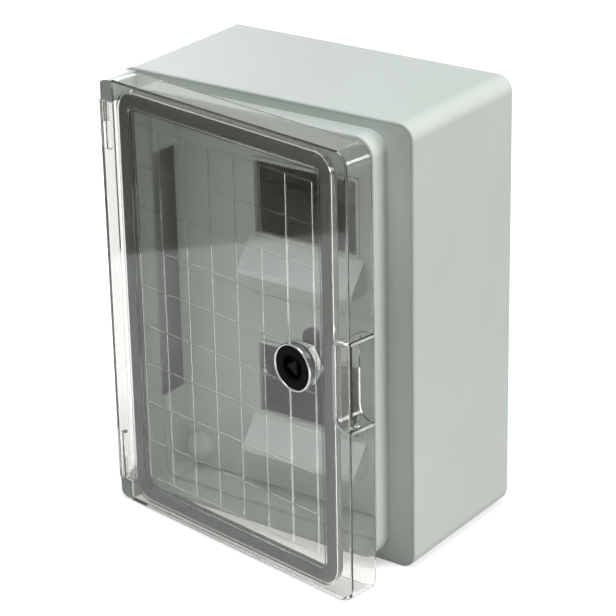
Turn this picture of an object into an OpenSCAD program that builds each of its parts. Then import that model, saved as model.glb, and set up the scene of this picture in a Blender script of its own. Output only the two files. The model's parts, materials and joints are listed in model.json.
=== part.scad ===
// Wall mounted distribution box with a clear hinged door, millimetres.
// The origin is the centre of the wall face, +Z is up and the door faces -Y.

/* [Body] */
// Width of the body over its side walls
body_w = 210; // [190:1:240]
// Height of the body
body_h = 280; // [260:1:320]
// Depth of the body from the wall face to the front flange
body_d = 107.5; // [100:0.5:130]
// Thickness of the moulded walls
wall = 3; // [2.6:0.1:3.4]
// Corner radius of the body seen from the front
body_r = 10; // [8:0.5:14]
// Rounding of the back edges
back_edge_r = 3; // [1:0.5:5]
// Rounding of the body's front edge
front_edge_r = 1.2; // [0.4:0.1:1.4]
// Width of the body's edge round the let-in front frame
lip_t = 1.6; // [1.4:0.1:2]
// Thickness of the front frame's flange
frame_t = 2.5; // [2:0.1:3]
// Joint between the front frame and the body's edge
frame_gap = 0.15; // [0.1:0.05:0.3]

/* [Collar] */
// Width of the flange between the body's side and the collar
flange_x = 17.6; // [16:0.2:20]
// Width of the flange above and below the collar
flange_z = 7; // [6:0.2:9]
// Height of the collar above the flange
collar_h = 14; // [12:0.5:16]
// Thickness of the collar's rim
collar_t = 2.5; // [2:0.1:3]
// Corner radius of the collar
collar_r = 12; // [10:0.5:14]
// Rounding of the collar's outer front edge
collar_edge_r = 1; // [0.4:0.1:1.6]

/* [Door] */
// Angle at which the door stands ajar
door_ajar = 9.5; // [4:0.5:20]
// Distance from the flange to the door's front face when it is shut
door_stand = 23.5; // [22:0.5:27]
// Inset of the door's right edge from the body's side
door_inset_x = 2.8; // [1:0.2:5]
// Inset of the door's upper and lower edges from the body
door_inset_z = 0.7; // [0.2:0.1:2]
// Thickness of the clear panel
door_t = 2.8; // [2.2:0.1:3.2]
// Thickness of the door's skirt
skirt_t = 2.2; // [1.8:0.1:2.6]
// Gap between the skirt's back edge and the flange when the door is shut
skirt_gap = 2.8; // [1.5:0.1:5]
// Depth of the skirt on the hinge side
hinge_skirt = 11; // [8:0.5:13]
// Corner radius of the door seen from the front
door_r = 10; // [8:0.5:12]
// Rounding of the door's front edges
door_edge_r = 1.5; // [1:0.25:2.5]
// Rounding of the skirt's back edge
skirt_edge_r = 0.6; // [0.3:0.1:0.8]

/* [Line grid] */
// Pitch of the upright lines
grid_pitch_x = 21.2; // [18:0.2:22]
// Pitch of the level lines
grid_pitch_z = 25.8; // [22:0.2:26.4]
// Number of upright lines
grid_count_x = 8; // [4:1:8]
// Number of level lines
grid_count_z = 10; // [4:1:10]
// Width of a line
grid_line_w = 0.8; // [0.5:0.1:1.2]
// Height of a line above the inside of the panel
grid_line_h = 0.4; // [0.2:0.1:0.8]

/* [Finger recess] */
// Depth of the recess in the door's right edge
recess_d = 11.2; // [8:0.2:12]
// Height of the upper end of the recess
recess_top = 25; // [20:1:32]
// Height of the lower end of the recess
recess_bottom = -28; // [-36:1:-22]
// Thickness of the walls round the recess
recess_t = 2; // [1.6:0.1:2.4]
// Radius of the recess's lower corner
recess_r = 8; // [4:0.5:9]
// Radius of the recess's upper corner
recess_top_r = 3; // [1:0.5:4]
// Radius of the hole for a seal wire
seal_hole_r = 1.8; // [1.2:0.1:2.2]

/* [Gasket] */
// Width of the gasket strip
gasket_w = 8.8; // [7:0.2:10]
// Overhang of the strip outside the collar
gasket_over = 0.9; // [0.4:0.1:1.2]
// Room between the gasket and the collar when the door is shut
gasket_gap = 0.3; // [0.2:0.05:0.6]
// Thickness of the two ribs that hold the strip
channel_t = 1.2; // [0.8:0.1:1.4]
// Depth of the two ribs
channel_d = 3; // [2:0.25:4]
// Room on each side of the strip in its channel
channel_gap = 0.1; // [0.05:0.05:0.2]

/* [Hinge] */
// Distance of the hinge axis from the body's left side
hinge_inset = 5; // [4.5:0.1:5.5]
// Radius of the hinge barrels
barrel_r = 3.35; // [2.8:0.05:3.6]
// Radius of the hinge pins
pin_r = 1.5; // [1:0.1:1.8]
// Room round a pin in the door's knuckle
pin_run = 0.06; // [0.02:0.01:0.1]
// Room round a pin in the body's ear
pin_seat = 0.02; // [0.01:0.01:0.05]
// Length of a pin inside the ear
pin_in_ear = 10; // [7:0.5:11]
// Length of a pin inside the knuckle
pin_in_knuckle = 13; // [8:0.5:20]
// Height of an ear
ear_h = 13; // [12:0.5:16]
// Width of an ear
ear_w = 11; // [9:0.5:11.5]
// Distance of an ear's end from the body's top or bottom
ear_inset = 1.5; // [1:0.1:3]
// Radius of the lower ear's corner
ear_low_r = 8.5; // [2:0.5:8.5]
// Radius of the upper ear's corner
ear_top_r = 7; // [1:0.5:8.5]
// Gap between an ear and the door's knuckle
ear_gap = 0.4; // [0.3:0.05:0.8]
// Room between an ear and the notch in the door's corner
notch_gap = 1.2; // [0.8:0.1:2]
// Length of a knuckle
knuckle_l = 31; // [24:1:40]

/* [Lock] */
// Distance of the lock's axis from the body's right side
lock_inset = 44.4; // [42:0.2:50]
// Height of the lock's axis
lock_z = 1.5; // [-5:0.5:6]
// Outer radius of the bright ring
bezel_r = 14.75; // [14:0.25:15.5]
// Width of the bright ring
bezel_t = 1.4; // [1:0.1:2]
// Height of the bright ring above the door
bezel_h = 4; // [3.6:0.2:6]
// Room between the bright ring and the lock's disc
bezel_gap = 0.15; // [0.1:0.05:0.25]
// Thickness of the lock's disc
disc_t = 2.8; // [2:0.1:3.2]
// Thickness of the flat seal under the disc
seal_t = 0.8; // [0.5:0.1:1.2]
// Radius of the lock's barrel
lock_barrel_r = 8.8; // [8.4:0.1:9.2]
// Room round the barrel in the door, the washer, the nut and the seal
lock_barrel_gap = 0.2; // [0.1:0.05:0.3]
// Depth of the barrel's end behind the door's front face
lock_barrel_d = 13.2; // [12.8:0.1:14]
// Radius of the key recess
key_recess_r = 7.7; // [6.8:0.1:7.8]
// Depth of the key recess
key_recess_d = 7; // [6:0.5:8]
// Radius of the circle round the triangular driver
driver_r = 5.4; // [4:0.1:6]
// Height of the driver above its base
driver_h = 4; // [3:0.2:4.6]
// Thickness of the driver's base
driver_base_t = 1.8; // [1.4:0.1:2.2]
// Radius of the core's shaft
core_r = 4.4; // [4:0.1:4.8]
// Running room round the core's shaft
core_run = 0.06; // [0.03:0.01:0.1]
// End play of the core in its housing
core_play = 0.3; // [0.2:0.05:0.4]
// Width of the square end that drives the cam
drive_w = 5.8; // [5:0.1:6]
// Room round the square end in the cam
drive_gap = 0.05; // [0.02:0.01:0.1]
// Thickness of the cord of the core's ring seal
o_ring_t = 1; // [0.8:0.1:1.2]
// Room round the ring seal
o_ring_gap = 0.05; // [0.02:0.01:0.1]
// Width of the nut over its flats
nut_flats = 24; // [22:0.5:25]
// Thickness of the nut
nut_t = 5; // [4:0.5:6]
// Radius of the washer under the nut
nut_washer_r = 13; // [12:0.25:13.5]
// Thickness of the washer under the nut
nut_washer_t = 1; // [0.8:0.1:1.5]

/* [Latch] */
// Reach of the cam from the lock's axis
cam_reach = 19; // [18:0.1:20]
// Width of the cam
cam_w = 15; // [13:0.5:16]
// Thickness of the cam
cam_t = 2.5; // [2:0.1:3]
// Radius of the cam's raised hub
cam_hub_r = 7; // [6.4:0.2:7.4]
// Height of the cam's raised hub and ribs
cam_rib_h = 1; // [0.6:0.1:1.2]
// Width of the cam's ribs
cam_rib_w = 1.4; // [1:0.1:1.8]
// Radius of the washer behind the cam
cam_washer_r = 5; // [4:0.25:5.5]
// Thickness of the washer behind the cam
cam_washer_t = 1; // [0.6:0.1:1.4]
// Radius of the cam screw's thread
cam_screw_r = 2; // [1.6:0.1:2]
// Radius of the cam screw's head
cam_head_r = 3.9; // [3.4:0.1:4.2]
// Height of the cam screw's head
cam_head_h = 2.4; // [2:0.1:3]
// Length of the cam screw's thread
cam_screw_l = 9; // [7:0.5:10]
// Overlap of the keeper with the shut cam
keeper_lap = 2.8; // [2:0.1:4]
// Thickness of the keeper
keeper_t = 3; // [2:0.1:3.4]
// Height of the keeper
keeper_h = 28; // [20:1:36]
// Room between the keeper and the shut cam
keeper_gap = 0.5; // [0.3:0.05:0.8]

/* [Inner cover] */
// Distance of the cover's front face from the wall face
cover_y = 84; // [78:0.5:90]
// Thickness of the cover
cover_t = 2.2; // [1.8:0.1:2.6]
// Room between the cover's rim and the collar's opening
cover_slack = 0.3; // [0.2:0.05:0.6]
// Thickness of the cover's rim
rim_t = 2; // [1.6:0.1:2.4]
// Height of the upper end of the gaps in the rim's sides
rim_gap_top = 88; // [70:1:96]
// Height of the lower end of the gaps in the rim's sides
rim_gap_bottom = -74; // [-90:1:-60]
// Width of a device window
window_w = 72; // [54:1:90]
// Height of a device window
window_h = 46; // [45:0.5:47]
// Height of the upper row of devices
row_top = 66; // [60:1:72]
// Height of the lower row of devices
row_bottom = -53; // [-66:1:-46]
// Distance of the rows' middle from the box's middle
row_x = 13; // [-14:0.5:14]
// Width of the raised frame round a window
frame_w = 2; // [1.5:0.1:3]
// Height of the raised frame round a window
frame_h = 1; // [0.6:0.1:1.6]
// Inset of the cover's fixings from its sides
knob_inset_x = 13; // [12.6:0.2:16]
// Inset of the cover's fixings from its ends
knob_inset_z = 16; // [12.6:0.2:18]
// Radius of a fixing knob
knob_r = 10; // [8:0.25:10.5]
// Height of a fixing knob's dome
knob_h = 9; // [5:0.25:9.5]
// Radius of a knob's stem
knob_stem_r = 2.9; // [2.4:0.1:3.4]
// Length of a knob's stem behind the cover
knob_stem_l = 12; // [8:0.5:16]
// Room round a stem in the cover and the post
knob_gap = 0.1; // [0.05:0.05:0.2]
// Radius of the posts that carry the cover
post_r = 6; // [5:0.25:7.5]
// Height of the slit at the foot of the cover
slit_h = 1.6; // [1:0.1:2]
// Length of the slit
slit_l = 156; // [120:1:158]
// Height of the groove across the cover between its windows
groove_z = 4.5; // [-10:0.5:12]
// Width of the groove
groove_w = 5; // [3:0.25:6]
// Depth of the groove
groove_d = 1.1; // [0.6:0.1:1.2]

/* [Window sills] */
// Distance of a sill's upper edge below its window
sill_gap = 3; // [2.5:0.25:6]
// Length of a sill past each side of its window
sill_side = 5; // [0:0.5:6]
// Distance that a sill stands forward of the cover
sill_out = 13.5; // [8:0.5:15]
// Height of a sill's slope
sill_drop = 17; // [10:0.5:18]
// Height of the lip at a sill's foot
sill_lip = 4; // [3:0.5:5]
// Thickness of a sill's walls
sill_t = 1.6; // [1.2:0.1:2]

/* [Device rails] */
// Length of a rail
rail_l = 130; // [110:1:140]
// Height of the rail's profile over its brims
rail_w = 35; // [35:1:35]
// Depth of the rail's profile
rail_d = 7.5; // [7.5:0.5:15]
// Height of the rail's channel
rail_channel = 25; // [24:0.5:27]
// Thickness of the rail's sheet
rail_t = 1; // [0.8:0.1:1.2]
// Distance from the rail's brims to the cover's front face
device_d = 45; // [42:0.5:46]
// Distance between the two screws of a rail
rail_screw_pitch = 100; // [80:1:104]
// Radius of the posts that carry a rail
rail_post_r = 5; // [4.4:0.1:6]
// Radius of a rail screw's thread
rail_screw_r = 1.75; // [1.5:0.05:2]
// Length of a rail screw's thread
rail_screw_l = 12; // [8:0.5:14]
// Radius of a rail screw's head
rail_head_r = 3.5; // [3:0.1:4]
// Height of a rail screw's head
rail_head_h = 2.4; // [2:0.1:2.8]
// Radius of a rail washer
rail_washer_r = 4.6; // [4.2:0.1:5]
// Thickness of a rail washer
rail_washer_t = 0.8; // [0.6:0.1:1]
// Room round a thread in its hole
thread_gap = 0.05; // [0.02:0.01:0.1]
// Room round a thread in a rail, a cam or a washer
clear_gap = 0.3; // [0.2:0.05:0.4]

/* [Wall fixing] */
// Distance between the wall holes across the box
fix_pitch_x = 160; // [140:1:166]
// Distance between the wall holes up the box
fix_pitch_z = 190; // [170:1:200]
// Radius of a wall hole
fix_hole_r = 2.75; // [2:0.05:3.5]
// Radius of the raised pad round a wall hole
fix_pad_r = 6.5; // [5.5:0.25:8]
// Height of the raised pad round a wall hole
fix_pad_h = 2.5; // [1:0.25:4]

/* [Hidden] */
$fn = 48;
// Overlap that joins solids or carries a cut past a face
lap = 0.5;

// Planes measured as Y, from the wall face towards the front
flange_y = -body_d;
collar_y = flange_y - collar_h;
front_y = flange_y - door_stand;
panel_y = front_y + door_t;
skirt_y = flange_y - skirt_gap;
cavity_back_y = -wall;
frame_back_y = flange_y + frame_t;
frame_inset = lip_t + frame_gap;

// The collar and the opening inside it
collar_w = body_w - 2 * flange_x;
collar_tall = body_h - 2 * flange_z;
open_w = collar_w - 2 * collar_t;
open_h = collar_tall - 2 * collar_t;
open_r = collar_r - collar_t;

// The door when it is shut
hinge_x = -body_w / 2 + hinge_inset;
hinge_y = front_y + barrel_r;
door_left = hinge_x - barrel_r;
door_right = body_w / 2 - door_inset_x;
door_w = door_right - door_left;
door_mid_x = (door_right + door_left) / 2;
door_h = body_h - 2 * door_inset_z;
gasket_y = collar_y - gasket_gap;

// The hinge ears, as distances from the middle height
ear_end = body_h / 2 - ear_inset;
ear_start = ear_end - ear_h;
knuckle_end = ear_start - ear_gap;
notch_x = hinge_x - barrel_r + ear_w + notch_gap;

// The lock, as depths behind the door's front face
lock_x = body_w / 2 - lock_inset;
disc_r = bezel_r - bezel_t - bezel_gap;
disc_front = -seal_t - disc_t;
recess_floor = disc_front + key_recess_d;
core_end = lock_barrel_d + core_play;
cam_back = core_end + cam_t;
cam_hub_back = cam_back + cam_rib_h;
washer_back = cam_hub_back + cam_washer_t;
o_ring_d = (recess_floor + lock_barrel_d) / 2;
bore_r = core_r + core_run;

// The keeper in front of the shut cam
keeper_x = lock_x + cam_reach - keeper_lap;
keeper_back_y = front_y + core_end - keeper_gap;

// The inner cover and its posts
cover_w = open_w - 2 * cover_slack;
cover_h = open_h - 2 * cover_slack;
cover_r = open_r - cover_slack;
knob_x = cover_w / 2 - knob_inset_x;
knob_z = cover_h / 2 - knob_inset_z;
cover_back_y = cover_t - cover_y;
rows = [row_top, row_bottom];
groove_r = (groove_w * groove_w / 4 + groove_d * groove_d) / (2 * groove_d);
sill_l = window_w + 2 * sill_side;
sill_foot = -sill_drop - sill_lip;
sill_slope_t = sill_t * norm([sill_out, sill_drop]) / sill_out;
rail_back_y = rail_d + device_d - cover_y;
rail_screw_x = rail_screw_pitch / 2;

abs_grey = [0.80, 0.83, 0.81];
clear_grey = [0.78, 0.83, 0.82, 0.35];
foam_grey = [0.28, 0.30, 0.29];
steel_grey = [0.68, 0.69, 0.70];
lock_black = [0.06, 0.06, 0.065];

// Shared shapes

// Rectangle with round corners, centred
module round_rect(w, h, r) {
    square([w, h - 2 * r], center = true);
    square([w - 2 * r, h], center = true);
    for (sx = [-1, 1], sy = [-1, 1])
        translate([sx * (w / 2 - r), sy * (h / 2 - r)]) circle(r);
}

// Slab seen from the front as a rounded rectangle, between two planes
module slab(w, h, r, back, front) {
    translate([0, back, 0])
        rotate([90, 0, 0])
            linear_extrude(height = back - front) round_rect(w, h, r);
}

// Section of a box by depth, with its back and front corners rounded
module depth_profile(w, back, front, back_r, front_r) {
    translate([-w / 2, front + front_r]) square([w, back - front - back_r - front_r]);
    translate([-w / 2 + back_r, back - 2 * back_r]) square([w - 2 * back_r, 2 * back_r]);
    translate([-w / 2 + front_r, front]) square([w - 2 * front_r, 2 * front_r]);
    for (s = [-1, 1]) {
        translate([s * (w / 2 - back_r), back - back_r]) circle(back_r);
        translate([s * (w / 2 - front_r), front + front_r]) circle(front_r);
    }
}

// Box with round upright corners whose back and front edges are rounded too
module soft_box(w, h, r, back, front, back_r, front_r) {
    linear_extrude(height = h - 2 * r, center = true) depth_profile(w, back, front, back_r, front_r);
    rotate([0, 90, 0])
        linear_extrude(height = w - 2 * r, center = true) depth_profile(h, back, front, back_r, front_r);
    for (sx = [-1, 1], sz = [-1, 1])
        translate([sx * (w / 2 - r), 0, sz * (h / 2 - r)])
            rotate([-90, 0, 0])
                rotate_extrude()
                    intersection() {
                        depth_profile(2 * r, back, front, back_r, front_r);
                        translate([0, front]) square([r, back - front]);
                    }
}

// Cylinder that runs along Y from one plane to a plane nearer the front
module rod(r, back, front) {
    translate([0, back, 0])
        rotate([90, 0, 0]) cylinder(h = back - front, r = r);
}

// Places that repeat
module at_knobs() {
    for (sx = [-1, 1], sz = [-1, 1])
        translate([sx * knob_x, 0, sz * knob_z]) children();
}

module at_rail_screws() {
    for (sx = [-1, 1], z = rows)
        translate([row_x + sx * rail_screw_x, 0, z]) children();
}

module at_wall_holes() {
    for (sx = [-1, 1], sz = [-1, 1])
        translate([sx * fix_pitch_x / 2, 0, sz * fix_pitch_z / 2]) children();
}

// Turns what is modelled on the shut door to the place where the door stands ajar
module ajar() {
    translate([hinge_x, hinge_y, 0])
        rotate([0, 0, -door_ajar])
            translate([-hinge_x, -hinge_y, 0]) children();
}

// Moves to the lock's axis on the door's front face
module at_lock() {
    ajar() translate([lock_x, front_y, lock_z]) children();
}

// Cylinder on the lock's axis between two depths behind the door's front face
module lock_rod(r, from, to) {
    rod(r, to, from);
}

// The body

// Outline of an ear seen from the front
module ear_outline(end_r) {
    translate([-barrel_r, ear_start]) square([ear_w, ear_h - end_r]);
    translate([-barrel_r + end_r, ear_start]) square([ear_w - end_r, ear_h]);
    translate([-barrel_r + end_r, ear_end - end_r]) circle(end_r);
}

// Hinge ear that stands out from the flange, with a blind hole for its pin; it clears the body's edge
module hinge_ear(end_r) {
    difference() {
        intersection() {
            translate([hinge_x, 0, ear_start])
                linear_extrude(height = ear_h) {
                    translate([0, hinge_y]) circle(barrel_r);
                    translate([0, hinge_y - barrel_r]) square([ear_w - barrel_r, 2 * barrel_r]);
                    translate([-barrel_r, hinge_y]) square([ear_w, flange_y + lap - hinge_y]);
                }
            translate([hinge_x, 0, 0])
                rotate([90, 0, 0])
                    linear_extrude(height = body_d + door_stand + lap) ear_outline(end_r);
        }
        translate([hinge_x, hinge_y, ear_start - lap])
            cylinder(h = pin_in_ear + lap, r = pin_r + pin_seat);
        ring(body_w, body_h, body_r, frame_inset, flange_y + 2 * lap, flange_y - frame_gap);
    }
}

// Deep box with a ledge round its front edge for the frame
module rear_box() {
    color(abs_grey)
        difference() {
            union() {
                difference() {
                    soft_box(body_w, body_h, body_r, 0, flange_y, back_edge_r, front_edge_r);
                    slab(body_w - 2 * wall, body_h - 2 * wall, body_r - wall, cavity_back_y, flange_y - lap);
                    slab(body_w - 2 * lip_t, body_h - 2 * lip_t, body_r - lip_t, frame_back_y, flange_y - lap);
                }
                at_wall_holes() rod(fix_pad_r, cavity_back_y + lap, cavity_back_y - fix_pad_h);
            }
            at_wall_holes() rod(fix_hole_r, lap, cavity_back_y - fix_pad_h - lap);
        }
}

// Post that stands on the back wall, with a blind hole in its front end
module post(r, hole_r, hole_l, front) {
    difference() {
        rod(r, cavity_back_y, front);
        rod(hole_r, front + hole_l + lap, front - lap);
    }
}

module cover_posts() {
    color(abs_grey)
        at_knobs() post(post_r, knob_stem_r + knob_gap, knob_stem_l, cover_back_y);
}

module rail_posts() {
    color(abs_grey)
        at_rail_screws() post(rail_post_r, rail_screw_r + thread_gap, rail_screw_l, rail_back_y);
}

// Lip behind which the shut cam catches
module keeper() {
    translate([keeper_x, keeper_back_y - keeper_t, lock_z - keeper_h / 2])
        cube([open_w / 2 + lap - keeper_x, keeper_t, keeper_h]);
}

// Flange with the sealing collar, the keeper and the two hinge ears
module front_frame() {
    color(abs_grey) {
        difference() {
            union() {
                slab(body_w - 2 * frame_inset, body_h - 2 * frame_inset, body_r - frame_inset,
                    frame_back_y, flange_y);
                soft_box(collar_w, collar_tall, collar_r, frame_back_y - lap, collar_y, lap, collar_edge_r);
            }
            slab(open_w, open_h, open_r, frame_back_y + lap, collar_y - lap);
        }
        keeper();
        hinge_ear(ear_top_r);
        mirror([0, 0, 1]) hinge_ear(ear_low_r);
    }
}

// Tray over the devices: a plate with two windows, a groove between them, a slit at its foot and a rim
module inner_cover() {
    rim_y = frame_back_y;
    color(abs_grey)
        difference() {
            union() {
                slab(cover_w, cover_h, cover_r, cover_back_y, rim_y);
                for (z = rows)
                    translate([row_x, 0, z]) window_block(frame_w, cover_back_y, -cover_y);
            }
            difference() {
                slab(cover_w - 2 * rim_t, cover_h - 2 * rim_t, cover_r - rim_t, -cover_y, rim_y - lap);
                for (z = rows)
                    translate([row_x, 0, z]) window_block(frame_w, -cover_y + lap, -cover_y - frame_h);
            }
            for (z = rows)
                translate([row_x, 0, z]) window_block(0, cover_back_y + lap, rim_y - lap);
            translate([-body_w / 2, rim_y - lap, rim_gap_bottom])
                cube([body_w / 2 - cover_w / 2 + rim_t, -cover_y - rim_y + lap, rim_gap_top - rim_gap_bottom]);
            translate([cover_w / 2 - rim_t, rim_y - lap, rim_gap_bottom])
                cube([body_w / 2 - cover_w / 2 + rim_t, -cover_y - rim_y + lap, rim_gap_top - rim_gap_bottom]);
            at_knobs() rod(knob_stem_r + knob_gap, cover_back_y + lap, -cover_y - lap);
            translate([-slit_l / 2, -cover_y - lap, rim_t - cover_h / 2])
                cube([slit_l, cover_t + 2 * lap, slit_h]);
            translate([0, groove_d - groove_r - cover_y, groove_z])
                rotate([0, 90, 0]) cylinder(h = cover_w + 2 * lap, r = groove_r, center = true);
        }
}

// Bar across the box with a section drawn by depth and height
module cross_bar(length, section) {
    rotate([90, 0, 90])
        linear_extrude(height = length, center = true) polygon(section);
}

// Hollow sills that slope forward below the windows, open towards the cover
module cover_sills() {
    slope = sill_drop / sill_out;
    hollow_front = sill_t - sill_out;
    color(abs_grey)
        for (z = rows)
            translate([row_x, -cover_y, z - window_h / 2 - sill_gap])
                difference() {
                    cross_bar(sill_l, [
                        [0, 0],
                        [-sill_out, -sill_drop],
                        [-sill_out, sill_foot],
                        [0, sill_foot]
                    ]);
                    cross_bar(sill_l - 2 * sill_t, [
                        [lap, slope * lap - sill_slope_t],
                        [hollow_front, slope * hollow_front - sill_slope_t],
                        [hollow_front, sill_foot + sill_t],
                        [lap, sill_foot + sill_t]
                    ]);
                }
}

// Block of a window's size, grown on each side, between two planes
module window_block(grow, back, front) {
    translate([-window_w / 2 - grow, front, -window_h / 2 - grow])
        cube([window_w + 2 * grow, back - front, window_h + 2 * grow]);
}

// Domed fixings of the inner cover
module cover_knobs() {
    dome_r = (knob_r * knob_r + knob_h * knob_h) / (2 * knob_h);
    color(abs_grey)
        at_knobs() {
            translate([0, -cover_y, 0])
                rotate([90, 0, 0])
                    rotate_extrude()
                        intersection() {
                            translate([0, knob_h - dome_r]) circle(dome_r, $fn = 96);
                            square([knob_r, knob_h]);
                        }
            rod(knob_stem_r, cover_back_y + knob_stem_l, -cover_y - lap);
        }
}

// Device rails and their fixings

// Top hat section, with the brims at the front
module rail_section() {
    for (s = [-1, 1]) {
        translate([s * (rail_channel / 2 - rail_t / 2), rail_back_y - rail_d / 2])
            square([rail_t, rail_d], center = true);
        translate([s * (rail_w + rail_channel - 2 * rail_t) / 4, rail_back_y - rail_d + rail_t / 2])
            square([(rail_w - rail_channel) / 2 + rail_t, rail_t], center = true);
    }
    translate([0, rail_back_y - rail_t / 2]) square([rail_channel, rail_t], center = true);
}

module din_rail(z) {
    color(steel_grey)
        difference() {
            translate([row_x, 0, z])
                rotate([0, 90, 0])
                    linear_extrude(height = rail_l, center = true) rail_section();
            for (s = [-1, 1])
                translate([row_x + s * rail_screw_x, 0, z])
                    rod(rail_screw_r + clear_gap, rail_back_y + lap, rail_back_y - rail_t - lap);
        }
}

module rail_washers() {
    seat_y = rail_back_y - rail_t;
    color(steel_grey)
        at_rail_screws()
            difference() {
                rod(rail_washer_r, seat_y, seat_y - rail_washer_t);
                rod(rail_screw_r + clear_gap, seat_y + lap, seat_y - rail_washer_t - lap);
            }
}

module rail_screws() {
    seat_y = rail_back_y - rail_t - rail_washer_t;
    color(steel_grey)
        at_rail_screws() {
            rod(rail_screw_r, rail_back_y + rail_screw_l, seat_y - lap);
            rod(rail_head_r, seat_y, seat_y - rail_head_h);
        }
}

// Hinge pin from the knuckle into the ear, on the upper or the lower side
module hinge_pin(side) {
    color(steel_grey)
        mirror([0, 0, side > 0 ? 0 : 1])
            translate([hinge_x, hinge_y, knuckle_end - pin_in_knuckle])
                cylinder(h = pin_in_knuckle + ear_gap + pin_in_ear - lap, r = pin_r);
}

// The door, modelled shut

// Outline of the finger recess seen from the front, grown by its walls
module recess_outline(grow) {
    left = door_right - recess_d - grow;
    low = recess_bottom - grow;
    high = recess_top + grow;
    r = recess_r + grow;
    top_r = recess_top_r + grow;
    translate([left + r, low]) square([door_right + lap - left - r, high - low]);
    translate([left + top_r, low + r]) square([r + lap, high - low - r]);
    translate([left, low + r]) square([top_r + lap, high - low - r - top_r]);
    translate([left + r, low + r]) circle(r);
    translate([left + top_r, high - top_r]) circle(top_r);
}

module recess_block(grow, back, front) {
    translate([0, back, 0])
        rotate([90, 0, 0])
            linear_extrude(height = back - front) recess_outline(grow);
}

// Tray with its skirt, less the corners where the ears stand
module door_tray() {
    difference() {
        translate([door_mid_x, 0, 0])
            soft_box(door_w, door_h, door_r, skirt_y, front_y, skirt_edge_r, door_edge_r);
        difference() {
            translate([door_mid_x, 0, 0])
                slab(door_w - 2 * skirt_t, door_h - 2 * skirt_t, door_r - skirt_t, skirt_y + lap, panel_y);
            recess_block(recess_t, skirt_y + lap, panel_y - lap);
        }
        recess_block(0, skirt_y + lap, panel_y);
        translate([door_left - lap, front_y + hinge_skirt, -door_h / 2 - lap])
            cube([notch_x + lap - door_left, door_stand, door_h + 2 * lap]);
        for (s = [0, 1])
            mirror([0, 0, s])
                translate([door_left - lap, front_y - lap, knuckle_end])
                    cube([notch_x + lap - door_left, door_stand, door_h / 2 + lap - knuckle_end]);
    }
}

// Ring seen from the front between an outer rectangle and one inset from it
module ring(w, h, r, inset, back, front) {
    difference() {
        slab(w, h, r, back, front);
        slab(w - 2 * inset, h - 2 * inset, max(r - inset, lap), back + lap, front - lap);
    }
}

// Two ribs that hold the gasket
module gasket_channel() {
    for (out = [channel_gap + channel_t, -gasket_w - channel_gap])
        ring(collar_w + 2 * gasket_over + 2 * out, collar_tall + 2 * gasket_over + 2 * out,
            collar_r + gasket_over + out, channel_t, panel_y + channel_d, panel_y - lap);
}

module line_grid() {
    tall = (grid_count_z - 1) * grid_pitch_z + grid_line_w;
    wide = (grid_count_x - 1) * grid_pitch_x + grid_line_w;
    for (i = [0 : grid_count_x - 1])
        translate([(i - (grid_count_x - 1) / 2) * grid_pitch_x, panel_y, 0])
            cube([grid_line_w, 2 * grid_line_h, tall], center = true);
    for (i = [0 : grid_count_z - 1])
        translate([0, panel_y, (i - (grid_count_z - 1) / 2) * grid_pitch_z])
            cube([wide, 2 * grid_line_h, grid_line_w], center = true);
}

module door_panel() {
    color(clear_grey)
        ajar()
            difference() {
                union() {
                    door_tray();
                    gasket_channel();
                    line_grid();
                    for (s = [0, 1])
                        mirror([0, 0, s])
                            translate([hinge_x, hinge_y, knuckle_end - knuckle_l])
                                cylinder(h = knuckle_l, r = barrel_r);
                }
                for (s = [0, 1])
                    mirror([0, 0, s])
                        translate([hinge_x, hinge_y, knuckle_end - pin_in_knuckle - lap])
                            cylinder(h = pin_in_knuckle + 2 * lap, r = pin_r + pin_run);
                translate([lock_x, front_y, lock_z])
                    lock_rod(nut_washer_r + lap, door_t, door_t + grid_line_h + lap);
                translate([lock_x, front_y, lock_z])
                    lock_rod(lock_barrel_r + lock_barrel_gap, -lap, door_t + lap);
                translate([door_right - recess_d / 2, (panel_y + skirt_y) / 2, recess_bottom - recess_t - lap])
                    cylinder(h = recess_t + 2 * lap, r = seal_hole_r);
            }
}

module door_gasket() {
    color(foam_grey)
        ajar()
            ring(collar_w + 2 * gasket_over, collar_tall + 2 * gasket_over, collar_r + gasket_over,
                gasket_w, gasket_y, panel_y);
}

// The lock

module lock_housing() {
    color(lock_black)
        at_lock()
            difference() {
                union() {
                    lock_rod(disc_r, disc_front, -seal_t);
                    lock_rod(lock_barrel_r, -seal_t - lap, lock_barrel_d);
                }
                lock_rod(key_recess_r, disc_front - lap, recess_floor);
                lock_rod(bore_r, recess_floor - lap, lock_barrel_d + lap);
            }
}

// Bright ring with a rounded front
module lock_bezel() {
    color(steel_grey)
        at_lock()
            rotate([90, 0, 0])
                rotate_extrude()
                    translate([bezel_r - bezel_t, 0]) {
                        square([bezel_t, bezel_h - bezel_t / 2]);
                        translate([bezel_t / 2, bezel_h - bezel_t / 2]) circle(bezel_t / 2);
                    }
}

// Ring on the lock's axis
module lock_ring(outer_r, inner_r, from, to) {
    difference() {
        lock_rod(outer_r, from, to);
        lock_rod(inner_r, from - lap, to + lap);
    }
}

module lock_seal() {
    color(foam_grey)
        at_lock() lock_ring(disc_r, lock_barrel_r + lock_barrel_gap, -seal_t, 0);
}

module nut_washer() {
    color(foam_grey)
        at_lock()
            lock_ring(nut_washer_r, lock_barrel_r + lock_barrel_gap, door_t, door_t + nut_washer_t);
}

module lock_nut() {
    seat = door_t + nut_washer_t;
    color(abs_grey)
        at_lock()
            difference() {
                translate([0, seat + nut_t, 0])
                    rotate([90, 0, 0])
                        cylinder(h = nut_t, r = nut_flats / sqrt(3), $fn = 6);
                lock_rod(lock_barrel_r + thread_gap, seat - lap, seat + nut_t + lap);
            }
}

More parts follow.
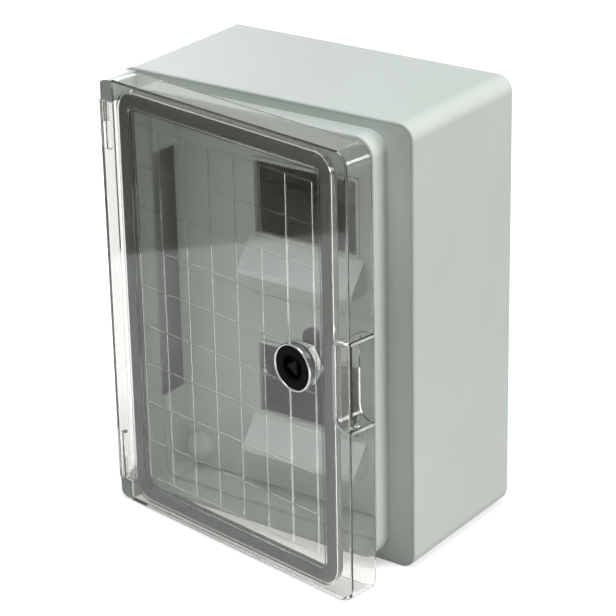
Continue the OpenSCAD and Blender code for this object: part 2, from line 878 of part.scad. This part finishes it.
// Turning core with its triangular driver, ring groove and square end
module lock_core() {
    base = recess_floor - core_play;
    groove_half = o_ring_t / 2 + o_ring_gap;
    color(lock_black)
        at_lock()
            difference() {
                union() {
                    translate([0, base - driver_base_t + lap, 0])
                        rotate([90, 180, 0]) cylinder(h = driver_h + lap, r = driver_r, $fn = 3);
                    lock_rod(key_recess_r - clear_gap, base - driver_base_t, base);
                    lock_rod(core_r, base - lap, core_end);
                    translate([0, core_end + cam_t / 2 - lap, 0])
                        cube([drive_w, cam_t + lap, drive_w], center = true);
                }
                lock_ring(core_r + lap, core_r - o_ring_t, o_ring_d - groove_half, o_ring_d + groove_half);
                lock_rod(cam_screw_r + thread_gap, washer_back - cam_screw_l - lap, cam_back + lap);
            }
}

module core_o_ring() {
    color(foam_grey)
        at_lock()
            translate([0, o_ring_d, 0])
                rotate([90, 0, 0])
                    rotate_extrude()
                        translate([core_r - o_ring_t / 2 + o_ring_gap / 2, 0])
                            circle(o_ring_t / 2 - o_ring_gap / 2);
}

// Latch tongue, which points up while the lock is open
module lock_cam() {
    tip_r = cam_w / 2;
    color(foam_grey)
        at_lock()
            difference() {
                union() {
                    lock_rod(cam_hub_r, core_end, cam_hub_back);
                    translate([-tip_r, core_end, 0]) cube([cam_w, cam_t, cam_reach - tip_r]);
                    translate([0, 0, cam_reach - tip_r]) lock_rod(tip_r, core_end, cam_back);
                    translate([-cam_rib_w / 2, cam_back - lap, cam_hub_r / 2])
                        cube([cam_rib_w, cam_rib_h + lap, cam_reach - tip_r - cam_hub_r / 2]);
                }
                translate([0, (core_end + cam_back) / 2, 0])
                    cube([drive_w + 2 * drive_gap, cam_t + 2 * lap, drive_w + 2 * drive_gap], center = true);
                lock_rod(cam_screw_r + clear_gap, core_end, cam_hub_back + lap);
            }
}

module cam_washer() {
    color(steel_grey)
        at_lock() lock_ring(cam_washer_r, cam_screw_r + clear_gap, cam_hub_back, washer_back);
}

module cam_screw() {
    color(steel_grey)
        at_lock() {
            lock_rod(cam_screw_r, washer_back - cam_screw_l, washer_back + lap);
            lock_rod(cam_head_r, washer_back, washer_back + cam_head_h);
        }
}

rear_box();
front_frame();
cover_posts();
inner_cover();
cover_sills();
cover_knobs();
rail_posts();
din_rail(row_top);  // din_rail_upper
din_rail(row_bottom);  // din_rail_lower
rail_screws();
rail_washers();
hinge_pin(1);  // hinge_pin_upper
hinge_pin(-1);  // hinge_pin_lower
door_panel();
door_gasket();
lock_housing();
lock_bezel();
lock_seal();
lock_nut();
nut_washer();
lock_core();
core_o_ring();
lock_cam();
cam_washer();
cam_screw();
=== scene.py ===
import json
import math

import bmesh
import bpy
from mathutils import Matrix, Vector


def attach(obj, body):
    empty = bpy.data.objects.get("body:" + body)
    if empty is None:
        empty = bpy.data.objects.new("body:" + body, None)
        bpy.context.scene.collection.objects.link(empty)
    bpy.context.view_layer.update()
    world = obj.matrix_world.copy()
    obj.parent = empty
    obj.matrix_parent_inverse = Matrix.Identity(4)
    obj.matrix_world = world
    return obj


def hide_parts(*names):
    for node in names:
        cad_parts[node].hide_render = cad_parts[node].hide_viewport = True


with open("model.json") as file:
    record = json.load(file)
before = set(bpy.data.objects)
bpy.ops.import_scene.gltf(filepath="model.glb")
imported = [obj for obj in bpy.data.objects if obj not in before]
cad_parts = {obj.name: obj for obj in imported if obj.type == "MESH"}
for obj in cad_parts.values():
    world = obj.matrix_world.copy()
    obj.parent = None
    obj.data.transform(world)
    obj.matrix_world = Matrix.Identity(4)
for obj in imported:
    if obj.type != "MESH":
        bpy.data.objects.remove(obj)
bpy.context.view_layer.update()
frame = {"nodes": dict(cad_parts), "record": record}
nodes = frame["nodes"]

MM = 0.001
FLOOR_Z = -0.140
BOX_MIDDLE = (0, -0.05, 0)
UP = Vector((0, 0, 1))
WHITE = (1, 1, 1)


# Materials

# The part of a noise's range that colours and numbers are spread over
COLOUR_START, COLOUR_END = 0.35, 0.65
NUMBER_START, NUMBER_END = 0.3, 0.7

DRIFT_DETAIL = 3.0
GRAIN_DETAIL = 2.0
GRAIN_DEPTH = 0.05 * MM


def new_material(name):
    """An empty material with its Principled shader."""
    material = bpy.data.materials.new(name)
    material.use_nodes = True
    tree = material.node_tree
    return material, tree, tree.nodes["Principled BSDF"]


def noise(tree, scale, detail):
    """Noise in the object's own coordinates, in cells per metre."""
    where = tree.nodes.new("ShaderNodeTexCoord")
    texture = tree.nodes.new("ShaderNodeTexNoise")
    texture.inputs["Scale"].default_value = scale
    texture.inputs["Detail"].default_value = detail
    tree.links.new(where.outputs["Object"], texture.inputs["Vector"])
    return texture


def ramp(tree, source, low, high):
    """Two colours that a noise fades between."""
    node = tree.nodes.new("ShaderNodeValToRGB")
    node.color_ramp.elements[0].position = COLOUR_START
    node.color_ramp.elements[1].position = COLOUR_END
    node.color_ramp.elements[0].color = (*low, 1)
    node.color_ramp.elements[1].color = (*high, 1)
    tree.links.new(source.outputs["Fac"], node.inputs["Fac"])
    return node


def spread(tree, source, low, high):
    """A number that a noise moves between two limits."""
    node = tree.nodes.new("ShaderNodeMapRange")
    node.inputs["From Min"].default_value = NUMBER_START
    node.inputs["From Max"].default_value = NUMBER_END
    node.inputs["To Min"].default_value = low
    node.inputs["To Max"].default_value = high
    tree.links.new(source.outputs["Fac"], node.inputs["Value"])
    return node


def bump(tree, source, strength):
    """A fine relief that follows a noise."""
    node = tree.nodes.new("ShaderNodeBump")
    node.inputs["Strength"].default_value = strength
    node.inputs["Distance"].default_value = GRAIN_DEPTH
    tree.links.new(source.outputs["Fac"], node.inputs["Height"])
    return node


def surface(name, low, high, rough, drift_scale, grain_scale, grain, metallic=0.0, specular=0.5):
    """Opaque surface: a slight drift of colour and gloss over a fine grain."""
    material, tree, shader = new_material(name)
    drift = noise(tree, drift_scale, DRIFT_DETAIL)
    colour = ramp(tree, drift, low, high)
    gloss = spread(tree, drift, *rough)
    relief = bump(tree, noise(tree, grain_scale, GRAIN_DETAIL), grain)
    tree.links.new(colour.outputs["Color"], shader.inputs["Base Color"])
    tree.links.new(gloss.outputs["Result"], shader.inputs["Roughness"])
    tree.links.new(relief.outputs["Normal"], shader.inputs["Normal"])
    shader.inputs["Metallic"].default_value = metallic
    shader.inputs["Specular IOR Level"].default_value = specular
    return material


CLEAR_IOR = 1.3
COAT_WEIGHT = 0.45
COAT_ROUGH = 0.04
COAT_IOR = 1.36
WAVE_SCALE, WAVE_DETAIL = 60.0, 1.0
SHADOW_PASS = 0.46


def clear_plastic(name, tint, rough, clear):
    """Clear moulding that bends light; to shadow rays it is a plain tinted filter."""
    material, tree, shader = new_material(name)
    shader.inputs["Base Color"].default_value = (*tint, 1)
    shader.inputs["Transmission Weight"].default_value = clear
    shader.inputs["IOR"].default_value = CLEAR_IOR
    shader.inputs["Coat Weight"].default_value = COAT_WEIGHT
    shader.inputs["Coat Roughness"].default_value = COAT_ROUGH
    shader.inputs["Coat IOR"].default_value = COAT_IOR
    gloss = spread(tree, noise(tree, WAVE_SCALE, WAVE_DETAIL), *rough)
    tree.links.new(gloss.outputs["Result"], shader.inputs["Roughness"])
    shadow_filter = tree.nodes.new("ShaderNodeBsdfTransparent")
    shadow_filter.inputs["Color"].default_value = (*(SHADOW_PASS * c for c in tint), 1)
    rays = tree.nodes.new("ShaderNodeLightPath")
    mix = tree.nodes.new("ShaderNodeMixShader")
    tree.links.new(rays.outputs["Is Shadow Ray"], mix.inputs["Fac"])
    tree.links.new(shader.outputs["BSDF"], mix.inputs[1])
    tree.links.new(shadow_filter.outputs["BSDF"], mix.inputs[2])
    tree.links.new(mix.outputs["Shader"], tree.nodes["Material Output"].inputs["Surface"])
    return material


MATERIALS = {
    "abs_grey": surface(
        "abs_grey", low=(0.578, 0.628, 0.583), high=(0.602, 0.652, 0.608), rough=(0.40, 0.50),
        drift_scale=18, grain_scale=2600, grain=0.12, specular=0.35),
    "clear_door": clear_plastic(
        "clear_door", tint=(0.895, 0.90, 0.875), rough=(0.02, 0.05), clear=0.985),
    "foam_grey": surface(
        "foam_grey", low=(0.112, 0.125, 0.117), high=(0.140, 0.154, 0.146), rough=(0.75, 0.9),
        drift_scale=90, grain_scale=1800, grain=0.5),
    "lock_black": surface(
        "lock_black", low=(0.004, 0.005, 0.005), high=(0.007, 0.008, 0.008), rough=(0.32, 0.42),
        drift_scale=120, grain_scale=3000, grain=0.2, specular=0.03),
    "driver_grey": surface(
        "driver_grey", low=(0.009, 0.009, 0.009), high=(0.014, 0.014, 0.014), rough=(0.38, 0.5),
        drift_scale=150, grain_scale=3000, grain=0.2, specular=0.06),
    "bright_ring": surface(
        "bright_ring", low=(0.50, 0.51, 0.52), high=(0.60, 0.61, 0.62), rough=(0.18, 0.28),
        drift_scale=200, grain_scale=4000, grain=0.05, metallic=1.0),
    "nut_plastic": surface(
        "nut_plastic", low=(0.60, 0.64, 0.63), high=(0.68, 0.71, 0.70), rough=(0.25, 0.35),
        drift_scale=100, grain_scale=2600, grain=0.1),
    "seal_rubber": surface(
        "seal_rubber", low=(0.014, 0.014, 0.015), high=(0.022, 0.022, 0.023), rough=(0.6, 0.75),
        drift_scale=120, grain_scale=2600, grain=0.3),
    "cam_grey": surface(
        "cam_grey", low=(0.060, 0.064, 0.062), high=(0.078, 0.083, 0.080), rough=(0.42, 0.55),
        drift_scale=120, grain_scale=2600, grain=0.2),
    "zinc_steel": surface(
        "zinc_steel", low=(0.50, 0.51, 0.52), high=(0.62, 0.63, 0.64), rough=(0.28, 0.42),
        drift_scale=160, grain_scale=3000, grain=0.1, metallic=1.0),
    "pin_steel": surface(
        "pin_steel", low=(0.56, 0.56, 0.57), high=(0.64, 0.64, 0.65), rough=(0.22, 0.32),
        drift_scale=160, grain_scale=3000, grain=0.1, metallic=1.0),
}

# Nodes with a colour of their own: the sills are lighter and bluer than the other grey mouldings. This is
# painted light, for the light from above that falls on their sloped tops
PAINTED_LIGHT_NODE_MATERIALS = {
    "cover_sills": surface(
        "sill_painted_light", low=(0.79, 0.86, 0.84), high=(0.82, 0.89, 0.87), rough=(0.35, 0.45),
        drift_scale=18, grain_scale=2600, grain=0.12),
}

for part in frame["record"]["subparts"]:
    slot_material = MATERIALS[part["material_slot"]]
    mesh = nodes[part["node"]].data
    mesh.materials.clear()
    # The sills take their painted-light grey in place of their slot's material
    mesh.materials.append(PAINTED_LIGHT_NODE_MATERIALS.get(part["node"], slot_material))


# Pieces on the door, drawn shut and turned to its rest: x and z lie in the front face, y is depth

HINGE = Vector((-100, -127.65, 0)) * MM
DOOR_AJAR = math.radians(9.5)
DOOR_AT_REST = Matrix.Translation(HINGE) @ Matrix.Rotation(-DOOR_AJAR, 4, "Z") @ Matrix.Translation(-HINGE)
DOOR_FRONT = -131 * MM
DOOR_RIGHT = 102.2 * MM
ARC_STEPS = 16
OUT_UP = Vector((0, 1))
OUT_DOWN = Vector((0, -1))


def arc(centre, radius, start, end):
    """Points of an arc in the front face, each with its direction out of the centre."""
    turns = [math.radians(start + (end - start) * i / ARC_STEPS) for i in range(ARC_STEPS + 1)]
    directions = [Vector((math.cos(t), math.sin(t))) for t in turns]
    return [(Vector(centre) + radius * out, out) for out in directions]


def swept_mesh(name, path, section, closed, side):
    """A section of (across, depth) pairs carried along a path of points, each with its direction across.
    The path lies in the front face, as x and z, or in the door's right side, as y and z."""
    ring = len(section)
    verts = []
    for point, out in path:
        for across, depth in section:
            at = point + across * out
            verts.append((depth, at.x, at.y) if side else (at.x, depth, at.y))
    faces = []
    for k in range(len(path) if closed else len(path) - 1):
        here = k * ring
        after = (k + 1) % len(path) * ring
        for i in range(ring):
            j = (i + 1) % ring
            faces.append((here + i, here + j, after + j, after + i))
    if not closed:
        faces.append(tuple(range(ring)))
        faces.append(tuple(range(len(verts) - ring, len(verts))))
    mesh = bpy.data.meshes.new(name)
    mesh.from_pydata(verts, [], faces)
    edit = bmesh.new()
    edit.from_mesh(mesh)
    bmesh.ops.recalc_face_normals(edit, faces=edit.faces)
    edit.to_mesh(mesh)
    edit.free()
    return mesh


def on_door(name, path, section, closed, material, side=False):
    """A swept piece that rides on the door. Its four-cornered faces are smooth, and end caps stay flat."""
    mesh = swept_mesh(name, path, section, closed, side)
    for face in mesh.polygons:
        face.use_smooth = len(face.vertices) == 4
    mesh.materials.append(material)
    obj = bpy.data.objects.new(name, mesh)
    bpy.context.scene.collection.objects.link(obj)
    obj.matrix_world = DOOR_AT_REST
    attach(obj, "door")
    return obj


# Lip: a half-round bead along the finger recess's outline, from its upper to its lower end. The bead is the
# lip's shape; its hazy, whitish, half-clear plastic is a painted highlight along the outline

LIP_RIGHT, LIP_LEFT = 100.2 * MM, 90.3 * MM
LIP_TOP, LIP_BOTTOM = 25.4 * MM, -28.2 * MM
LIP_TOP_R, LIP_BOTTOM_R = 3.6 * MM, 8.4 * MM
LIP_HALF, LIP_HEIGHT = 0.9 * MM, 0.45 * MM
LIP_STEPS = 8


def bead(face, height):
    """Half-round section of the lip: it stands by a height, which has a sign, on a face of the door."""
    turns = [math.pi * i / LIP_STEPS for i in range(LIP_STEPS + 1)]
    return [(LIP_HALF * math.cos(t), face + height * math.sin(t)) for t in turns]


lip_path = [
    (Vector((LIP_RIGHT, LIP_TOP)), OUT_UP),
    *arc((LIP_LEFT + LIP_TOP_R, LIP_TOP - LIP_TOP_R), LIP_TOP_R, 90, 180),
    *arc((LIP_LEFT + LIP_BOTTOM_R, LIP_BOTTOM + LIP_BOTTOM_R), LIP_BOTTOM_R, 180, 270),
    (Vector((LIP_RIGHT, LIP_BOTTOM)), OUT_DOWN),
]
# Half-clear whitish plastic: a painted highlight, brighter than the clear door round it
lip_painted_highlight = clear_plastic("lip_painted_highlight", tint=(0.96, 0.97, 0.96), rough=(0.15, 0.25), clear=0.55)
on_door("recess_lip", lip_path, bead(DOOR_FRONT, -LIP_HEIGHT), False, lip_painted_highlight)


# The same bead on the ends of the recess's walls, in the skirt's right side, with the same painted highlight

SIDE_FRONT, SIDE_BACK = -129.4 * MM, -110.9 * MM
SIDE_LIPS = {"recess_lip_upper": 25.9 * MM, "recess_lip_lower": -28.9 * MM}

for lip_name, lip_z in SIDE_LIPS.items():
    side_path = [(Vector((y, lip_z)), OUT_UP) for y in (SIDE_FRONT, SIDE_BACK)]
    on_door(lip_name, side_path, bead(DOOR_RIGHT, LIP_HEIGHT), False, lip_painted_highlight, side=True)


# Foam gasket: a poured strip with soft edges and an uneven width stands for the CAD's square one

GASKET_X, GASKET_Z, GASKET_R = 83.9 * MM, 129.5 * MM, 8.5 * MM
GASKET_HALF = 4.35 * MM
GASKET_FRONT, GASKET_BACK = -128.1 * MM, -121.85 * MM
GASKET_SQUARENESS = 5
SECTION_STEPS, RUN_STEPS = 40, 24
# The share of the width that comes and goes, and the turn of its wave from one point of the path to the next
NARROWING, NARROWING_TURN = 0.015, 0.7
# Each corner's side in x and in z, and the angle that its arc starts from
GASKET_CORNERS = ((1, 1, 0), (-1, 1, 90), (-1, -1, 180), (1, -1, 270))


def squarish(value):
    """Turns a circle's coordinate into that of a square with soft corners."""
    return math.copysign(abs(value) ** (2 / GASKET_SQUARENESS), value)


def gasket_section():
    """A square with soft corners, between the strip's front and back."""
    middle = (GASKET_FRONT + GASKET_BACK) / 2
    half_depth = (GASKET_BACK - GASKET_FRONT) / 2
    turns = [2 * math.pi * i / SECTION_STEPS for i in range(SECTION_STEPS)]
    return [(GASKET_HALF * squarish(math.cos(t)), middle + half_depth * squarish(math.sin(t))) for t in turns]


def gasket_path():
    """The strip's middle line: four corners and the runs between them, with an uneven width."""
    corners = []
    for side_x, side_z, start in GASKET_CORNERS:
        centre = (side_x * (GASKET_X - GASKET_R), side_z * (GASKET_Z - GASKET_R))
        corners.append(arc(centre, GASKET_R, start, start + 90))
    path = []
    for here, after in zip(corners, corners[1:] + corners[:1]):
        run_start, out = here[-1]
        run_end = after[0][0]
        path += here
        path += [(run_start.lerp(run_end, i / RUN_STEPS), out) for i in range(1, RUN_STEPS)]
    widths = [1 - NARROWING * math.sin(NARROWING_TURN * k) ** 2 for k in range(len(path))]
    return [(at, out * width) for (at, out), width in zip(path, widths)]


gasket = on_door("gasket_strip", gasket_path(), gasket_section(), True, MATERIALS["foam_grey"])
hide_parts("door_gasket")


# Stage

def stage_mesh(name, verts, faces, material):
    """An object of the stage, which isn't part of the box."""
    mesh = bpy.data.meshes.new(name)
    mesh.from_pydata(verts, [], faces)
    mesh.materials.append(material)
    obj = bpy.data.objects.new(name, mesh)
    bpy.context.scene.collection.objects.link(obj)
    return obj


def plane(name, size_x, size_y, matrix, material):
    """A flat sheet of the stage, centred where the matrix puts it."""
    x = size_x / 2
    y = size_y / 2
    obj = stage_mesh(name, [(-x, -y, 0), (x, -y, 0), (x, y, 0), (-x, y, 0)], [(0, 1, 2, 3)], material)
    obj.matrix_world = matrix
    return obj


def leave_to_reflections(obj):
    """The camera, dull surfaces and shadows miss the object. Gloss shows it, and so do clear edges."""
    obj.visible_camera = False
    obj.visible_diffuse = False
    obj.visible_shadow = False


# Pale floor: it glows a little, and lights no dull surface
FLOOR_SIZE = 12
FLOOR_GREY = (0.93, 0.93, 0.93)
FLOOR_ROUGH = 0.8
FLOOR_GLOW = 0.43

floor_material, _, floor_shader = new_material("pale_floor")
floor_shader.inputs["Base Color"].default_value = (*FLOOR_GREY, 1)
floor_shader.inputs["Roughness"].default_value = FLOOR_ROUGH
floor_shader.inputs["Emission Color"].default_value = (*WHITE, 1)
floor_shader.inputs["Emission Strength"].default_value = FLOOR_GLOW
floor = plane("floor", FLOOR_SIZE, FLOOR_SIZE, Matrix.Translation((0, 0, FLOOR_Z)), floor_material)
floor.visible_diffuse = False

# Dark cards: the door's upper half mirrors the upright one, and the skirt mirrors the one on the floor
CARD_BROWN = (0.17, 0.145, 0.07)
CARD_ROUGH = 0.9
FRONT_CARD_FOOT = (-0.411, -0.451)
FRONT_CARD_ALONG = Vector((0.382, -0.924, 0)).normalized()
FRONT_CARD_WIDTH, FRONT_CARD_HEIGHT = 1.1, 0.34
FLOOR_CARD_SIZE = (0.70, 0.80)
FLOOR_CARD_LIFT = 1 * MM
FLOOR_CARD_AT = (0.62, 0.24, FLOOR_Z + FLOOR_CARD_LIFT)

card_material, _, card_shader = new_material("dark_card")
card_shader.inputs["Base Color"].default_value = (*CARD_BROWN, 1)
card_shader.inputs["Roughness"].default_value = CARD_ROUGH
card_axes = Matrix((FRONT_CARD_ALONG, UP, FRONT_CARD_ALONG.cross(UP))).transposed().to_4x4()
card_place = Matrix.Translation((*FRONT_CARD_FOOT, FLOOR_Z + FRONT_CARD_HEIGHT / 2)) @ card_axes
front_card = plane("front_card", FRONT_CARD_WIDTH, FRONT_CARD_HEIGHT, card_place, card_material)
leave_to_reflections(front_card)
floor_card = plane("floor_card", *FLOOR_CARD_SIZE, Matrix.Translation(FLOOR_CARD_AT), card_material)
leave_to_reflections(floor_card)
floor_card.visible_transmission = False

# White tent round the box: clear edges and bright metal show it, and it lights no dull surface
TENT_HALF, TENT_TOP = 3.0, 3.5
TENT_GLOW = 0.72
# The four walls and the roof, by the numbers of their corners
TENT_FACES = [(0, 1, 5, 4), (1, 3, 7, 5), (3, 2, 6, 7), (2, 0, 4, 6), (4, 5, 7, 6)]


def tent_cloth():
    """A glow that is clear to light which has already met a dull surface."""
    material, tree, shader = new_material("white_tent")
    tree.nodes.remove(shader)
    glow = tree.nodes.new("ShaderNodeEmission")
    glow.inputs["Strength"].default_value = TENT_GLOW
    nothing = tree.nodes.new("ShaderNodeBsdfTransparent")
    rays = tree.nodes.new("ShaderNodeLightPath")
    mix = tree.nodes.new("ShaderNodeMixShader")
    tree.links.new(rays.outputs["Diffuse Depth"], mix.inputs["Fac"])
    tree.links.new(glow.outputs["Emission"], mix.inputs[1])
    tree.links.new(nothing.outputs["BSDF"], mix.inputs[2])
    tree.links.new(mix.outputs["Shader"], tree.nodes["Material Output"].inputs["Surface"])
    return material


tent_span = (-TENT_HALF, TENT_HALF)
tent_corners = [(x, y, z) for z in (FLOOR_Z, TENT_TOP) for y in tent_span for x in tent_span]
tent = stage_mesh("white_tent", tent_corners, TENT_FACES, tent_cloth())
leave_to_reflections(tent)


# Lights

def area_light(name, at, aim, size, watts, colour):
    """A round soft light at a place, turned to its aim."""
    data = bpy.data.lights.new(name, "AREA")
    data.shape = "DISK"
    data.size = size
    data.energy = watts
    data.color = colour
    obj = bpy.data.objects.new(name, data)
    obj.location = at
    obj.rotation_euler = (Vector(aim) - Vector(at)).to_track_quat("-Z", "Y").to_euler()
    bpy.context.scene.collection.objects.link(obj)


LOW_RIGHT_EDGE = (0.1, -0.1, -0.11)
area_light("key_above", at=(0.2, -0.40, 2.0), aim=BOX_MIDDLE, size=1.1, watts=18.5, colour=(0.99, 1, 1.04))
area_light("side_right", at=(2.1, 0.65, 0.8), aim=BOX_MIDDLE, size=1.2, watts=38, colour=(1, 1, 0.98))
area_light("front_fill", at=(0.1, -0.95, 2.0), aim=BOX_MIDDLE, size=0.9, watts=11, colour=(0.98, 1, 1))
area_light("floor_bounce", at=(0.34, -0.36, -0.13), aim=LOW_RIGHT_EDGE, size=0.25, watts=0.34, colour=WHITE)
area_light("back_left", at=(-1.8, 1.5, 0.15), aim=BOX_MIDDLE, size=0.9, watts=27, colour=WHITE)

ROOM_COLOUR = (0.98, 1.0, 0.98)
ROOM_GLOW = 0.105

world = bpy.data.worlds.new("soft_room")
bpy.context.scene.world = world
world.use_nodes = True
room = world.node_tree.nodes["Background"]
room.inputs["Color"].default_value = (*ROOM_COLOUR, 1)
room.inputs["Strength"].default_value = ROOM_GLOW
bpy.context.scene.view_settings.view_transform = "Standard"


# Camera at the photo's angle, with a slight roll

CAMERA_AT = Vector((0.8261, -1.2000, 0.5910))
AZIMUTH = math.radians(36.07)
ELEVATION = math.radians(23.152)
ROLL = math.radians(1.22)
FOCAL_PX, FRAME_PX = 2494.4, 616
SENSOR_WIDTH = 36

forward = Vector((
    -math.sin(AZIMUTH) * math.cos(ELEVATION),
    math.cos(AZIMUTH) * math.cos(ELEVATION),
    -math.sin(ELEVATION),
))
level_right = Vector((math.cos(AZIMUTH), math.sin(AZIMUTH), 0))
level_down = forward.cross(level_right)
right = math.cos(ROLL) * level_right + math.sin(ROLL) * level_down
down = math.cos(ROLL) * level_down - math.sin(ROLL) * level_right
camera_axes = Matrix((right, -down, -forward)).transposed().to_4x4()

camera_data = bpy.data.cameras.new("camera")
camera_data.sensor_width = SENSOR_WIDTH
camera_data.lens = SENSOR_WIDTH * FOCAL_PX / FRAME_PX
camera = bpy.data.objects.new("camera", camera_data)
camera.matrix_world = Matrix.Translation(CAMERA_AT) @ camera_axes
bpy.context.scene.collection.objects.link(camera)
bpy.context.scene.camera = camera
